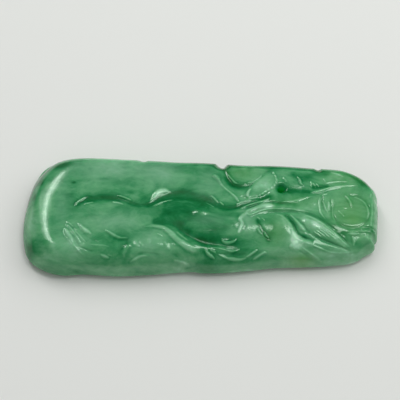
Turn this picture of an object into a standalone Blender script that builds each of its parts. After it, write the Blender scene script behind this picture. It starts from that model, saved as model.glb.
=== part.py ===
"""Carved jade plaque: one flat-backed slab with vine, pods, leaves and a scroll, drilled once.

Sizes in this file are in millimetres and are turned into metres when the mesh is made.
The slab lies along X with its wide smooth end at -X, its carved face up (+Z) and its flat
back on Z = 0. The origin is at the middle of the bounding box, on the underside.
"""
import math

import bmesh
import bpy
import numpy as np
from mathutils import Vector
from mathutils.geometry import delaunay_2d_cdt

MM = 0.001

# Slab
THICKNESS = 5.85           # at the wide end and the middle
THIN_END = 5.1             # at the narrow end
THINNING_FROM = 8.0        # x where the slab starts to thin
WIDEST_Z = 1.3             # height of the slab's widest line
BACK_ROUNDING = 0.9        # how far the back's edge is rounded in
FAR_ROUNDING = 2.4         # how far the face's edge is rounded in, along the side at +Y
NEAR_ROUNDING = 3.8        # the same along the side at -Y, towards the wide end
NARROW_ROUNDING = 2.6      # and towards the narrow end
PILLOW_REACH = 7.2         # how far in from the pillow line the wide end starts to fall away
END_ROUNDING = 1.8         # how far the face's edge is rounded in at the narrow end
END_FROM = 23.0
END_TO = 31.0
CROWN = 0.25               # how much the face is higher along its middle than at its sides
HALF_WIDTH = 11.0
NEAR_FALL = 1.2            # how far the face falls towards the side at -Y, from the middle to +X
RELIEF_FADE = 0.6          # the carving fades out over this distance from the rim

# Drilled hole for a cord
HOLE_X = 14.6
HOLE_Y = 3.9
HOLE_RADIUS = 0.72
HOLE_SIDES = 20

# Mesh
RIM_STEP = 0.5
GRID_STEP = 0.22
RIM_RINGS = (0.06, 0.22, 0.5, 0.9, 1.4)
BACK_ARCS = 3
TRIANGLE_SHARE = 0.16      # part of the fine triangles that is kept

# The slab's plan, clockwise from the middle of the wide end
PLAN = ((-31.95, -3.2), (-31.6, 1.6), (-30.35, 7.15), (-28.15, 10.6), (-24.6, 12.0), (-16.0, 11.55),
        (-8.2, 11.1), (-4.0, 10.8), (1.0, 10.65), (8.0, 10.15), (14.0, 10.1), (20.0, 9.7),
        (25.6, 9.25), (29.0, 7.75), (31.1, 5.7), (32.3, 3.2), (32.05, -2.6), (31.45, -6.15),
        (29.6, -7.6), (27.4, -8.95), (23.7, -9.5), (20.5, -9.75), (15.0, -9.9), (12.4, -10.05),
        (9.0, -10.5), (4.0, -10.95), (0.6, -11.0), (-2.2, -10.75), (-8.0, -11.25), (-14.5, -11.6),
        (-20.5, -11.25), (-24.8, -11.4), (-28.4, -10.25), (-31.0, -7.9))

# The line, just outside the rim, that the pillow at the wide end falls away towards
PILLOW_LINE = ((-21.8, 16.0), (-25.0, 13.2), (-28.0, 10.5), (-30.4, 7.5), (-32.6, 3.6), (-33.6, -0.5),
               (-33.6, -4.4), (-32.9, -7.8), (-31.5, -10.8), (-29.3, -14.0))

# Nicks cut in the rim: x, y, depth, half width towards -X, half width towards +X
NICKS = ((-10.3, 11.2, 0.28, 0.5, 0.5), (4.1, 10.4, 0.85, 0.6, 0.4), (21.5, 9.5, 0.25, 0.3, 0.35),
         (32.2, 2.2, 0.2, 0.5, 0.5), (31.9, -5.6, 0.65, 0.5, 0.5))


def smooth_step(value):
    value = np.clip(value, 0.0, 1.0)
    return value * value * (3.0 - 2.0 * value)


def smooth_curve(points, step, closed=False):
    """Rows about `step` apart on the Catmull-Rom curve through `points`."""
    points = np.asarray(points, float)
    if closed:
        guide = np.vstack([points[-1], points, points[0], points[1]])
    else:
        guide = np.vstack([2 * points[0] - points[1], points, 2 * points[-1] - points[-2]])
    rows = []
    for a, b, c, d in zip(guide, guide[1:], guide[2:], guide[3:]):
        count = max(2, math.ceil(math.dist(b[:2], c[:2]) / step))
        t = (np.arange(count) / count)[:, None]
        rows.append(0.5 * (2 * b + (c - a) * t + (2 * a - 5 * b + 4 * c - d) * t ** 2
                           + (3 * b - a - 3 * c + d) * t ** 3))
    if not closed:
        rows.append(points[-1:])
    return np.vstack(rows)


def spaced_evenly(loop, step):
    """The closed loop again, with its points an even distance apart."""
    closed = np.vstack([loop, loop[:1]])
    run = np.concatenate([[0.0], np.cumsum(np.hypot(*np.diff(closed, axis=0).T))])
    count = round(run[-1] / step)
    places = np.arange(count) * run[-1] / count
    return np.stack([np.interp(places, run, closed[:, 0]), np.interp(places, run, closed[:, 1])], axis=1)


def inward_directions(loop):
    """Unit vectors that point into a clockwise loop."""
    tangent = np.roll(loop, -1, axis=0) - np.roll(loop, 1, axis=0)
    tangent /= np.hypot(*tangent.T)[:, None]
    return np.stack([tangent[:, 1], -tangent[:, 0]], axis=1)


def rim_outline(step):
    """The plan of the slab at its widest, with its nicks."""
    loop = spaced_evenly(smooth_curve(PLAN, 0.2, closed=True), min(step, 0.2))
    inward = inward_directions(loop)
    depth = np.zeros(len(loop))
    for x, y, deepest, width_left, width_right in NICKS:
        distance = np.hypot(loop[:, 0] - x, loop[:, 1] - y)
        width = np.where(loop[:, 0] < x, width_left, width_right)
        depth += deepest * np.exp(-(distance / width) ** 2)
    return spaced_evenly(loop + inward * depth[:, None], step)


def measure_from(path, x, y):
    """For each point: distance to the path (left of it positive), place along it, width there."""
    start = path[:-1]
    run = path[1:] - start
    length = np.hypot(run[:, 0], run[:, 1])
    passed = np.concatenate([[0.0], np.cumsum(length)])
    nearest = np.full(x.shape, np.inf)
    distance = np.zeros(x.shape)
    place = np.zeros(x.shape)
    width = np.zeros(x.shape)
    for i in range(len(run)):
        dx = x - start[i, 0]
        dy = y - start[i, 1]
        t = np.clip((dx * run[i, 0] + dy * run[i, 1]) / length[i] ** 2, 0.0, 1.0)
        gap = np.hypot(dx - t * run[i, 0], dy - t * run[i, 1])
        closer = gap < nearest
        side = np.sign(run[i, 0] * dy - run[i, 1] * dx)
        nearest = np.where(closer, gap, nearest)
        distance = np.where(closer, side * gap, distance)
        place = np.where(closer, (passed[i] + t * length[i]) / passed[-1], place)
        width = np.where(closer, start[i, 2] + t * run[i, 2], width)
    return distance, place, width


class Carving:
    """Height added to or taken from the face at the points x, y."""

    def __init__(self, x, y):
        self.x = x
        self.y = y
        self.cuts = np.zeros(x.shape)
        self.raised = np.zeros(x.shape)
        self.swells = np.zeros(x.shape)

    def stroke(self, points, ends, power):
        """How strongly each point is under a stroke whose points are (x, y, half width)."""
        distance, place, width = measure_from(smooth_curve(points, 0.4), self.x, self.y)
        fade = smooth_step(place / ends) * smooth_step((1.0 - place) / ends) if ends else 1.0
        return np.exp(-np.abs(distance / width) ** power) * fade

    def groove(self, points, depth, ends=0.1, power=2.4):
        """A cut with a rounded floor. Where cuts cross, the deeper one counts."""
        self.cuts += (depth * self.stroke(points, ends, power)) ** 4

    def ridge(self, points, rise, ends=0.2, power=2.4):
        """A raised line or band."""
        self.raised += (rise * self.stroke(points, ends, power)) ** 4

    def swell(self, points, rise):
        """A broad soft rise, or a hollow where `rise` is negative."""
        self.swells += rise * self.stroke(points, 0.0, 2.0)

    def disc(self, x, y, radius_x, radius_y, rise, edge):
        """A flat-topped raised disc with a rounded edge."""
        away = np.hypot((self.x - x) / radius_x, (self.y - y) / radius_y)
        inside = np.clip((1.0 - away) / edge, 0.0, 1.0)
        self.swells += rise * np.sqrt(1.0 - (1.0 - inside) ** 2)

    def leaf(self, midrib, rise, edge=0.45):
        """A raised leaf: its midrib's points are (x, y, half width of the leaf)."""
        distance, _, width = measure_from(smooth_curve(midrib, 0.4), self.x, self.y)
        self.swells += rise * smooth_step((width - np.abs(distance)) / edge)

    def height(self):
        return self.swells + self.raised ** 0.25 - self.cuts ** 0.25


def arc(x, y, radius, first, last, half_width, count=10):
    """Stroke points round part of a circle; angles in degrees from +X."""
    angles = np.radians(np.linspace(first, last, count))
    return [(x + radius * math.cos(a), y + radius * math.sin(a), half_width) for a in angles]


def carve_pods(face):
    """The far pod, the middle pod and the long grooves that part them."""
    face.groove([(-22.6, 0.0, 0.3), (-19.5, 1.6, 0.8), (-17.0, 1.75, 0.85), (-13.0, 0.8, 0.6),
                 (-10.2, 0.15, 0.5), (-7.6, 1.1, 0.75), (-4.0, 2.3, 1.1), (-1.5, 2.3, 1.05),
                 (2.2, 0.8, 0.85), (5.3, -0.4, 0.8), (8.0, 0.35, 0.5), (12.5, 2.3, 0.45)],
                depth=0.5, ends=0.05)
    face.ridge([(-9.0, 0.9, 0.4), (-6.9, 3.0, 0.5), (-3.8, 3.6, 0.4)], rise=0.1)
    face.groove([(-10.5, -3.7, 0.4), (-7.5, -3.2, 0.7), (-5.0, -3.1, 1.0), (-3.2, -4.9, 0.9),
                 (-1.0, -6.2, 1.2), (2.0, -6.7, 1.4), (5.0, -6.4, 1.1), (8.0, -7.3, 1.3),
                 (10.5, -7.9, 0.8)], depth=0.6)
    face.swell([(-10.0, -1.6, 1.2), (-6.0, -2.0, 1.5), (-2.5, -2.1, 1.1)], rise=-0.2)
    face.swell([(-21.0, -1.4, 2.0), (-16.0, -2.2, 2.6), (-12.0, -2.6, 2.0)], rise=0.15)
    face.swell([(-0.5, -1.6, 1.4), (2.5, -2.6, 1.8), (6.0, -3.2, 1.6)], rise=0.15)
    face.ridge([(8.0, -1.6, 0.3), (7.25, -2.9, 0.35), (7.3, -4.7, 0.35), (6.5, -6.8, 0.3),
                (4.4, -7.5, 0.3)], rise=0.15)
    face.groove([(-17.4, -5.4, 0.4), (-15.5, -6.7, 0.5), (-13.4, -7.0, 0.5), (-12.0, -6.7, 0.4)],
                depth=0.3)


def carve_bud(face):
    """A round bud on the far edge, in a crescent-shaped sunk bed."""
    face.groove([(4.3, 10.6, 0.5), (4.35, 7.5, 0.5), (6.0, 3.95, 0.85), (9.6, 4.2, 0.6),
                 (12.2, 7.1, 0.5), (14.0, 9.6, 0.5)], depth=0.45, ends=0.03)
    face.disc(8.0, 7.7, 3.3, 3.1, rise=0.15, edge=0.25)
    face.groove([(21.9, 10.3, 0.5), (21.7, 7.6, 0.5)], depth=0.2, ends=0.3)


def carve_serrated_leaf(face):
    """The leaf beside the hole, and the sunk ground round both."""
    face.swell([(12.2, 2.6, 1.0), (14.4, 3.4, 1.6), (20.5, 3.6, 1.0)], rise=-0.2)
    face.leaf([(8.6, 2.0, 0.5), (9.9, 3.2, 1.5), (11.5, 4.5, 1.9), (13.0, 6.2, 1.1),
               (13.5, 7.2, 0.4)], rise=0.2)


def carve_stems(face):
    """The forked stem, its calyx and the sweeping groove under it."""
    face.ridge([(7.0, -0.65, 0.3), (9.0, 0.3, 0.3), (12.7, 1.8, 0.3)], rise=0.15)
    face.groove([(7.7, -1.0, 0.35), (10.5, 0.1, 0.35), (14.5, 0.5, 0.35), (16.9, 0.6, 0.35)], depth=0.25)
    face.ridge([(8.3, -1.7, 0.5), (10.0, -0.9, 0.55), (13.0, -0.1, 0.55), (16.0, -0.25, 0.45),
                (19.4, -1.05, 0.3)], rise=0.2)
    face.ridge([(13.6, 0.9, 0.35), (17.5, 1.35, 0.5), (20.8, 2.7, 0.5), (25.5, 4.5, 0.35),
                (29.6, 5.0, 0.35)], rise=0.15)
    face.groove([(9.9, -2.5, 0.35), (11.35, -5.4, 0.4), (12.0, -6.7, 0.35)], depth=0.3)
    face.groove([(10.5, -2.0, 0.35), (15.0, -1.05, 0.4), (18.0, -1.15, 0.4), (21.7, -2.8, 0.4),
                 (25.0, -6.0, 0.45), (26.9, -8.1, 0.4)], depth=0.4)


def carve_near_leaves(face):
    """The petal leaf, the veined leaf and the long leaf along the near side."""
    face.swell([(14.4, -2.4, 0.9), (14.9, -4.0, 1.2), (15.0, -6.0, 1.3)], rise=0.15)
    face.swell([(11.6, -2.6, 0.9), (12.2, -4.4, 1.0), (13.0, -6.2, 0.9)], rise=-0.15)
    face.ridge([(13.4, -1.75, 0.3), (14.9, -2.1, 0.3), (16.2, -3.9, 0.35), (17.2, -6.3, 0.4),
                (20.3, -7.8, 0.35)], rise=0.2)
    face.groove([(15.3, -1.5, 0.35), (16.95, -3.9, 0.4), (18.6, -6.2, 0.4), (20.2, -6.6, 0.35)],
                depth=0.35)
    face.swell([(18.6, -2.6, 0.9), (20.6, -3.6, 1.1), (24.8, -6.9, 0.6)], rise=0.15)
    face.groove([(18.0, -5.4, 0.35), (21.5, -6.35, 0.35), (27.0, -8.15, 0.35)], depth=0.3)
    face.swell([(18.5, -7.0, 0.6), (21.0, -7.6, 0.7), (24.0, -8.1, 0.6)], rise=0.1)


def carve_scroll(face):
    """The curled scroll at the narrow end, the folds beside it and the block below it."""
    face.groove(arc(27.1, -0.7, 3.3, 100.0, -215.0, 0.4), depth=0.25, ends=0.05)
    face.ridge(arc(27.1, -0.7, 2.95, 75.0, -70.0, 0.3), rise=0.15)
    face.ridge([(26.2, 2.4, 0.3), (27.1, 0.7, 0.3), (25.3, 0.1, 0.3)], rise=0.15)
    face.groove([(23.7, 2.6, 0.35), (23.65, 0.0, 0.35), (23.75, -2.6, 0.35)], depth=0.3)
    face.groove([(22.0, 2.4, 0.3), (22.0, 1.0, 0.3), (23.2, -2.2, 0.3)], depth=0.2)
    face.groove([(28.9, -4.0, 0.4), (30.2, -3.85, 0.45), (32.6, -4.0, 0.45)], depth=0.35)
    face.swell([(24.9, -5.0, 0.6), (25.7, -6.0, 0.7), (26.3, -7.2, 0.5)], rise=-0.15)


def carve_vine(face):
    """The vine along the near side, the arched leaf and the leaf by the wide end."""
    face.ridge([(-10.2, -4.2, 0.4), (-6.5, -4.8, 0.5), (-4.3, -6.0, 0.6), (-2.2, -7.7, 0.65),
                (0.0, -8.6, 0.6), (1.6, -8.9, 0.5)], rise=0.2, power=4.0)
    face.ridge([(0.8, -8.3, 0.3), (5.4, -9.0, 0.35), (7.5, -8.6, 0.3)], rise=0.15)
    face.groove([(3.4, -9.2, 0.35), (6.0, -9.55, 0.35), (9.9, -8.5, 0.35)], depth=0.25)
    face.ridge([(-13.3, -10.6, 0.35), (-13.2, -8.8, 0.35), (-11.2, -6.9, 0.35)], rise=0.15)
    face.swell([(-9.5, -7.2, 1.4), (-7.8, -7.4, 1.4)], rise=0.15)
    face.groove([(-12.6, -10.3, 0.35), (-9.0, -9.4, 0.35), (-4.0, -9.95, 0.4)], depth=0.2)
    face.groove([(-23.7, -3.9, 0.35), (-21.6, -7.8, 0.45), (-18.2, -9.3, 0.4)], depth=0.3)
    face.groove([(-23.6, -2.7, 0.3), (-22.2, -3.7, 0.35), (-19.2, -6.7, 0.45), (-17.6, -6.5, 0.5)],
                depth=0.25)
    face.ridge([(-24.4, -4.0, 0.35), (-23.3, -6.4, 0.4), (-20.0, -9.9, 0.35)], rise=0.15)


def blend(first, second, share):
    return first + (second - first) * share


def face_height(x, y, inset):
    """Height of the carved face at x, y, where `inset` is the distance in from the rim."""
    near = blend(NEAR_ROUNDING, NARROW_ROUNDING, smooth_step((x + 8.0) / 20.0))
    rounding = blend(FAR_ROUNDING, near, smooth_step((5.0 - y) / 10.0))
    rounding = blend(rounding, END_ROUNDING, smooth_step((x - END_FROM) / (END_TO - END_FROM)))
    thinning = np.clip((x - THINNING_FROM) / (32.0 - THINNING_FROM), 0.0, 1.0)
    top = THICKNESS - (THICKNESS - THIN_END) * thinning - CROWN * (y / HALF_WIDTH) ** 2
    top = top - NEAR_FALL * smooth_step((-3.0 - y) / 7.0) * smooth_step((x + 8.0) / 16.0)
    out = np.clip(1.0 - inset / rounding, 0.0, 1.0)
    line = smooth_curve([(*point, 1.0) for point in PILLOW_LINE], 0.5)
    pillow_out = np.clip(1.0 - np.abs(measure_from(line, x, y)[0]) / PILLOW_REACH, 0.0, 1.0)
    share = np.sqrt(1.0 - out ** 2) * np.sqrt(1.0 - pillow_out ** 2)
    face = Carving(x, y)
    for carve in (carve_pods, carve_bud, carve_serrated_leaf, carve_stems, carve_near_leaves,
                  carve_scroll, carve_vine):
        carve(face)
    relief = face.height() * np.clip(inset / RELIEF_FADE, 0.0, 1.0)
    return WIDEST_Z + (top - WIDEST_Z) * share + relief


def face_points(rim):
    """Plan points of the face: the rim, rings just inside it, and an even grid."""
    outline = np.column_stack([np.vstack([rim, rim[:1]]), np.ones(len(rim) + 1)])
    inward = inward_directions(rim)
    rings = np.vstack([rim + inward * inset for inset in RIM_RINGS])
    ring_inset = np.repeat(RIM_RINGS, len(rim))
    kept = -measure_from(outline, rings[:, 0], rings[:, 1])[0] > ring_inset * 0.97
    low = rim.min(axis=0)
    high = rim.max(axis=0)
    grid_x, grid_y = np.meshgrid(np.arange(low[0], high[0], GRID_STEP),
                                 np.arange(low[1], high[1], GRID_STEP))
    grid = np.column_stack([grid_x.ravel(), grid_y.ravel()])
    grid_inset = -measure_from(outline, grid[:, 0], grid[:, 1])[0]
    points = np.vstack([rim, rings[kept], grid[grid_inset > RIM_RINGS[-1] + GRID_STEP / 2]])
    inset = np.maximum(-measure_from(outline, points[:, 0], points[:, 1])[0], 0.0)
    inset[:len(rim)] = 0.0
    return points, inset


def add_face(bm, rim):
    """The carved face. Returns its rim vertices."""
    points, inset = face_points(rim)
    heights = face_height(points[:, 0], points[:, 1], inset)
    count = len(rim)
    edges = [(i, (i + 1) % count) for i in range(count)]
    flat, _, triangles, origins, _, _ = delaunay_2d_cdt(
        [Vector(p) for p in points], edges, [], 1, 1e-6)
    source = [origin[0] for origin in origins]
    vertices = [bm.verts.new((p.x, p.y, heights[i])) for p, i in zip(flat, source)]
    for triangle in triangles:
        bm.faces.new([vertices[i] for i in triangle])
    by_source = {i: vertex for i, vertex in zip(source, vertices)}
    return [by_source[i] for i in range(count)]


def add_back(bm, rim, rim_vertices):
    """The rounded lower edge and the flat back."""
    inward = inward_directions(rim)
    upper = rim_vertices
    for step in range(1, BACK_ARCS + 1):
        angle = math.radians(90.0 * step / BACK_ARCS)
        ring = rim + inward * BACK_ROUNDING * (1.0 - math.cos(angle))
        z = WIDEST_Z * (1.0 - math.sin(angle))
        lower = [bm.verts.new((x, y, z)) for x, y in ring]
        for i in range(len(rim)):
            j = (i + 1) % len(rim)
            bm.faces.new((upper[i], upper[j], lower[j], lower[i]))
        upper = lower
    bm.faces.new(upper)


def jade_material():
    material = bpy.data.materials.new("jade")
    material.use_nodes = True
    shader = material.node_tree.nodes["Principled BSDF"]
    shader.inputs["Base Color"].default_value = (0.09, 0.33, 0.15, 1.0)
    shader.inputs["Roughness"].default_value = 0.18
    shader.inputs["Metallic"].default_value = 0.0
    return material


def make_plaque():
    """The undrilled plaque, and the plan's point that became the origin."""
    rim = rim_outline(RIM_STEP)
    bm = bmesh.new()
    rim_vertices = add_face(bm, rim)
    add_back(bm, rim, rim_vertices)
    bmesh.ops.recalc_face_normals(bm, faces=bm.faces)
    low = np.min([v.co for v in bm.verts], axis=0)
    high = np.max([v.co for v in bm.verts], axis=0)
    centre = Vector(((low[0] + high[0]) / 2, (low[1] + high[1]) / 2, low[2]))
    for vertex in bm.verts:
        vertex.co = (vertex.co - centre) * MM
    mesh = bpy.data.meshes.new("jade_plaque")
    bm.to_mesh(mesh)
    bm.free()
    mesh.shade_smooth()
    mesh.materials.append(jade_material())
    plaque = bpy.data.objects.new("jade_plaque", mesh)
    bpy.context.collection.objects.link(plaque)
    carved = plaque.vertex_groups.new(name="carved")
    carved.add([v.index for v in mesh.vertices if v.co.z > WIDEST_Z * MM], 1.0, "REPLACE")
    thin_out = plaque.modifiers.new("thin_out", "DECIMATE")
    thin_out.ratio = TRIANGLE_SHARE
    thin_out.vertex_group = carved.name
    return plaque, centre


def drill(plaque, origin):
    """The hole for a cord, straight through."""
    depth = 4 * THICKNESS * MM
    bpy.ops.mesh.primitive_cylinder_add(vertices=HOLE_SIDES, radius=HOLE_RADIUS * MM, depth=depth,
                                        location=((HOLE_X - origin.x) * MM, (HOLE_Y - origin.y) * MM, 0.0))
    cutter = bpy.context.object
    cutter.name = "hole_cutter"
    cutter.hide_render = True
    cutter.display_type = "WIRE"
    hole = plaque.modifiers.new("hole", "BOOLEAN")
    hole.operation = "DIFFERENCE"
    hole.object = cutter


for old in list(bpy.data.objects):
    bpy.data.objects.remove(old)
drill(*make_plaque())
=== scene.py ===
"""The carved jade plaque's looks: its fine relief as one dense mesh, its jade, floor and light.

Sizes and places of the carving are in millimetres in the frame's axes, and the finished mesh
is fitted to the CAD solid's box.
"""
import math

import bmesh
import bpy
import numpy as np
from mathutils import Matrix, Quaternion, Vector
from mathutils.geometry import delaunay_2d_cdt


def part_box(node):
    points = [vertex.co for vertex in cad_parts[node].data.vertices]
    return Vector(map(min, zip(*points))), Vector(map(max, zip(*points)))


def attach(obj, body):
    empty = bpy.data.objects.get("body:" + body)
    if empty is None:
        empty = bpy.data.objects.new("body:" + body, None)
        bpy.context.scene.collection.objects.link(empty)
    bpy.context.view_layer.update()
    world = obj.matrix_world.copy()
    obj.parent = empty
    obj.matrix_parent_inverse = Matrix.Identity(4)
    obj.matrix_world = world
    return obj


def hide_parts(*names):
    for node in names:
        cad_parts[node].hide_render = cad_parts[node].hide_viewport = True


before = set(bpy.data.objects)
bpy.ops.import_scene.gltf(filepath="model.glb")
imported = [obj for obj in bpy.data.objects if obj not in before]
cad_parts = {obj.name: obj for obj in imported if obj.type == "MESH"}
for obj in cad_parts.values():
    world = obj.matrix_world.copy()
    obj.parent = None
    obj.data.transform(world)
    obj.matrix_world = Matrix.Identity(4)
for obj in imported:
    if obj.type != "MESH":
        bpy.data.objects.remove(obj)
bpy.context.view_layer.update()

NODE = "jade_plaque"

# Slab
THICKNESS = 5.85  # at the wide end and the middle
THIN_END = 5.1  # at the narrow end
THINNING_FROM = 8.0  # x where the slab starts to thin
THINNING_TO = 32.0
WIDEST_Z = 1.3  # height of the slab's widest line
BACK_ROUNDING = 0.9  # how far the back's edge is rounded in
FAR_ROUNDING = 2.4  # how far the face's edge is rounded in, along the side at +Y
NEAR_ROUNDING = 3.8  # the same along the side at -Y, towards the wide end
NARROW_ROUNDING = 2.6  # and towards the narrow end
PILLOW_REACH = 7.2  # how far in from the pillow line the wide end starts to fall away
END_ROUNDING = 1.8  # how far the face's edge is rounded in at the narrow end
END_FROM = 23.0  # x where the rounding starts to turn into that
END_TO = 31.0
CROWN = 0.25  # how much the face is higher along its middle than at its sides
HALF_WIDTH = 11.0
NEAR_FALL = 1.2  # how far the face falls towards the side at -Y, from the middle to +X
RELIEF_FADE = 0.3  # the carving fades out over this distance from the rim

# Drilled hole for a cord
HOLE_X = 14.6
HOLE_Y = 3.9
HOLE_RADIUS = 0.72
HOLE_SIDES = 40
HOLE_RINGS = (0.08, 0.2, 0.36)  # distances from its edge of the rings of points round it
HOLE_BANDS = 6  # bands of triangles down its wall
HOLE_SINK = 0.25  # how far the face dips at its edge
HOLE_SINK_WIDTH = 0.25
BORE_TOP = 4.6  # below this height the bore takes a painted glow, standing in for light through its walls

# Strokes of the carving
STROKE_STEP = 0.3  # between the points along a stroke
STROKE_REACH = 4.5  # how far from its middle a stroke is worked out, in half widths
MERGE_POWER = 4  # how closely strokes that cross keep to the deeper or the higher one
FOOT_SHADE_SPREAD = 0.2  # how far the painted shade round a ridge's foot reaches: it falls off as the ridge's own shape to this power

# Painted shade: grooves, and the feet of ridges up to the height below, are greener by so much per
# millimetre.
# Painted highlight: a ridge of the height below or more takes on the pale tone below by the share below.
GROOVE_SHADE_GREEN = 1.3
FOOT_SHADE_GREEN = 2.6
FOOT_SHADE_HEIGHT = 0.07
RIDGE_HIGHLIGHT_TONE = -0.1
RIDGE_HIGHLIGHT_SHARE = 0.6
RIDGE_HIGHLIGHT_HEIGHT = 0.08
LEAST_GREEN = -0.25
MOST_GREEN = 0.9
FAR_RIM_GREEN = 0.45  # how much greener the far rim is, from the middle to +X
NEAR_EDGE_PAINTED_LIGHT = 0.15  # how much paler the low edge is at the near side: painted light, where the floor's light comes through the thin edge

# Jade: its colours from milky, 0, to emerald, 1; the palest stops also carry the painted highlights
GREENS = ((0.0, (0.45, 0.74, 0.53)), (0.2, (0.235, 0.525, 0.31)), (0.4, (0.135, 0.405, 0.20)),
          (0.6, (0.055, 0.295, 0.118)), (0.8, (0.009, 0.19, 0.058)), (1.0, (0.0, 0.115, 0.024)))
YELLOW_GREEN = (0.125, 0.345, 0.095)
MILK = (0.22, 0.44, 0.30)
# the bore's painted glow, standing in for light through its walls
BORE_PAINTED_GLOW = (0.04, 0.78, 0.22)
CLOUD = 1.25  # how far the noise of clouds and of mottle changes the green
MOTTLE = 0.45
WARM_SHARE = 0.6  # how far full warmth turns the green yellow, and its opposite milky
MILK_SHARE = -0.7
POLISHED = 0.15  # roughness of the polished stone
DULLER = 0.06  # how much rougher a groove is that is DULL_DEPTH deep or more
DULL_DEPTH = 0.16
FLOOR_COLOUR = (0.765, 0.78, 0.75)

# Camera, in metres and degrees, its lens in millimetres
LENS = 147
AIM = (-0.00018, 0.00445, 0)
CAMERA_DISTANCE = 0.30
ELEVATION = 60

# Mesh
PLAN_STEP = 0.2  # between the points along the smooth plan
RIM_STEP = 0.22  # between the points round the rim
GRID_STEP = 0.105  # between the points of the face
BACK_STEP = 1.2  # between the points of the back, which keep clear of its edge and of the hole
BACK_EDGE_CLEARANCE = 0.8
BACK_HOLE_CLEARANCE = 0.5
SMOOTH_BELOW = 0.003  # the face's points are twice as far apart where no stroke is deeper or higher
RIM_RINGS = (0.05, 0.15, 0.3, 0.48)  # distances from the rim of the rings of points inside it
RING_CLEARANCE = 0.6  # a ring's point is kept this share of its distance clear of the rim
BACK_ARCS = 6  # bands of triangles round the lower edge
SAME_POINT = 1e-7  # points closer than this are one

# The slab's plan, clockwise from the middle of the wide end
PLAN = ((-31.95, -3.2), (-31.6, 1.6), (-30.35, 7.15), (-28.15, 10.6), (-24.6, 12.0), (-16.0, 11.55),
        (-8.2, 11.1), (-4.0, 10.8), (1.0, 10.65), (8.0, 10.15), (14.0, 10.1), (20.0, 9.7),
        (25.6, 9.25), (29.0, 7.75), (31.1, 5.7), (32.3, 3.2), (32.05, -2.6), (31.45, -6.15),
        (29.6, -7.6), (27.4, -8.95), (23.7, -9.5), (20.5, -9.75), (15.0, -9.9), (12.4, -10.05),
        (9.0, -10.5), (4.0, -10.95), (0.6, -11.0), (-2.2, -10.75), (-8.0, -11.25), (-14.5, -11.6),
        (-20.5, -11.25), (-24.8, -11.4), (-28.4, -10.25), (-31.0, -7.9))

# The line, just outside the rim, that the pillow at the wide end falls away towards
PILLOW_LINE = ((-21.8, 16.0), (-25.0, 13.2), (-28.0, 10.5), (-30.4, 7.5), (-32.6, 3.6), (-33.6, -0.5),
               (-33.6, -4.4), (-32.9, -7.8), (-31.5, -10.8), (-29.3, -14.0))

# Nicks cut in the rim: x, y, depth, half width towards -X, half width towards +X
NICKS = ((-10.3, 11.2, 0.28, 0.5, 0.5), (4.1, 10.4, 0.85, 0.6, 0.4), (21.5, 9.5, 0.25, 0.3, 0.35),
         (32.2, 2.2, 0.2, 0.5, 0.5), (31.9, -5.6, 0.65, 0.5, 0.5))


def smooth_step(value):
    """0 up to 0 and 1 from 1 on, with a smooth rise between them."""
    value = np.clip(value, 0.0, 1.0)
    return value * value * (3.0 - 2.0 * value)


def rise(value, first, last):
    """0 up to `first` and 1 from `last` on, with a smooth rise between them."""
    return smooth_step((value - first) / (last - first))


def blend(first, second, share):
    return first + (second - first) * share


def smooth_curve(points, step, closed=False):
    """Rows about `step` apart on the Catmull-Rom curve through `points`."""
    points = np.asarray(points, float)
    if closed:
        guide = np.vstack([points[-1], points, points[0], points[1]])
    else:
        guide = np.vstack([2 * points[0] - points[1], points, 2 * points[-1] - points[-2]])
    rows = []
    for a, b, c, d in zip(guide, guide[1:], guide[2:], guide[3:]):
        count = max(2, math.ceil(math.dist(b[:2], c[:2]) / step))
        t = (np.arange(count) / count)[:, None]
        rows.append(0.5 * (2 * b + (c - a) * t + (2 * a - 5 * b + 4 * c - d) * t ** 2
                           + (3 * b - a - 3 * c + d) * t ** 3))
    if not closed:
        rows.append(points[-1:])
    return np.vstack(rows)


def spaced_evenly(loop, step):
    """The closed loop again, with its points an even distance apart."""
    closed = np.vstack([loop, loop[:1]])
    run = np.concatenate([[0.0], np.cumsum(np.hypot(*np.diff(closed, axis=0).T))])
    count = round(run[-1] / step)
    places = np.arange(count) * run[-1] / count
    return np.stack([np.interp(places, run, closed[:, 0]), np.interp(places, run, closed[:, 1])], axis=1)


def inward_directions(loop):
    """Unit vectors that point into a clockwise loop."""
    tangent = np.roll(loop, -1, axis=0) - np.roll(loop, 1, axis=0)
    tangent /= np.hypot(*tangent.T)[:, None]
    return np.stack([tangent[:, 1], -tangent[:, 0]], axis=1)


def rim_outline(step):
    """The plan of the slab at its widest, with its nicks, and the inward direction at each point."""
    loop = spaced_evenly(smooth_curve(PLAN, PLAN_STEP, closed=True), step)
    inward = inward_directions(loop)
    depth = np.zeros(len(loop))
    for x, y, deepest, width_left, width_right in NICKS:
        distance = np.hypot(loop[:, 0] - x, loop[:, 1] - y)
        width = np.where(loop[:, 0] < x, width_left, width_right)
        depth += deepest * np.exp(-(distance / width) ** 2)
    return loop + inward * depth[:, None], inward


def measure_from(path, x, y):
    """For each point: distance to the path (left of it positive), place along it, width there."""
    start = path[:-1]
    run = path[1:] - start
    length = np.hypot(run[:, 0], run[:, 1])
    passed = np.concatenate([[0.0], np.cumsum(length)])
    nearest = np.full(x.shape, np.inf)
    distance = np.zeros(x.shape)
    place = np.zeros(x.shape)
    width = np.zeros(x.shape)
    for i in range(len(run)):
        dx = x - start[i, 0]
        dy = y - start[i, 1]
        t = np.clip((dx * run[i, 0] + dy * run[i, 1]) / length[i] ** 2, 0.0, 1.0)
        gap = np.hypot(dx - t * run[i, 0], dy - t * run[i, 1])
        closer = gap < nearest
        side = np.sign(run[i, 0] * dy - run[i, 1] * dx)
        nearest = np.where(closer, gap, nearest)
        distance = np.where(closer, side * gap, distance)
        place = np.where(closer, (passed[i] + t * length[i]) / passed[-1], place)
        width = np.where(closer, start[i, 2] + t * run[i, 2], width)
    return distance, place, width


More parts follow.
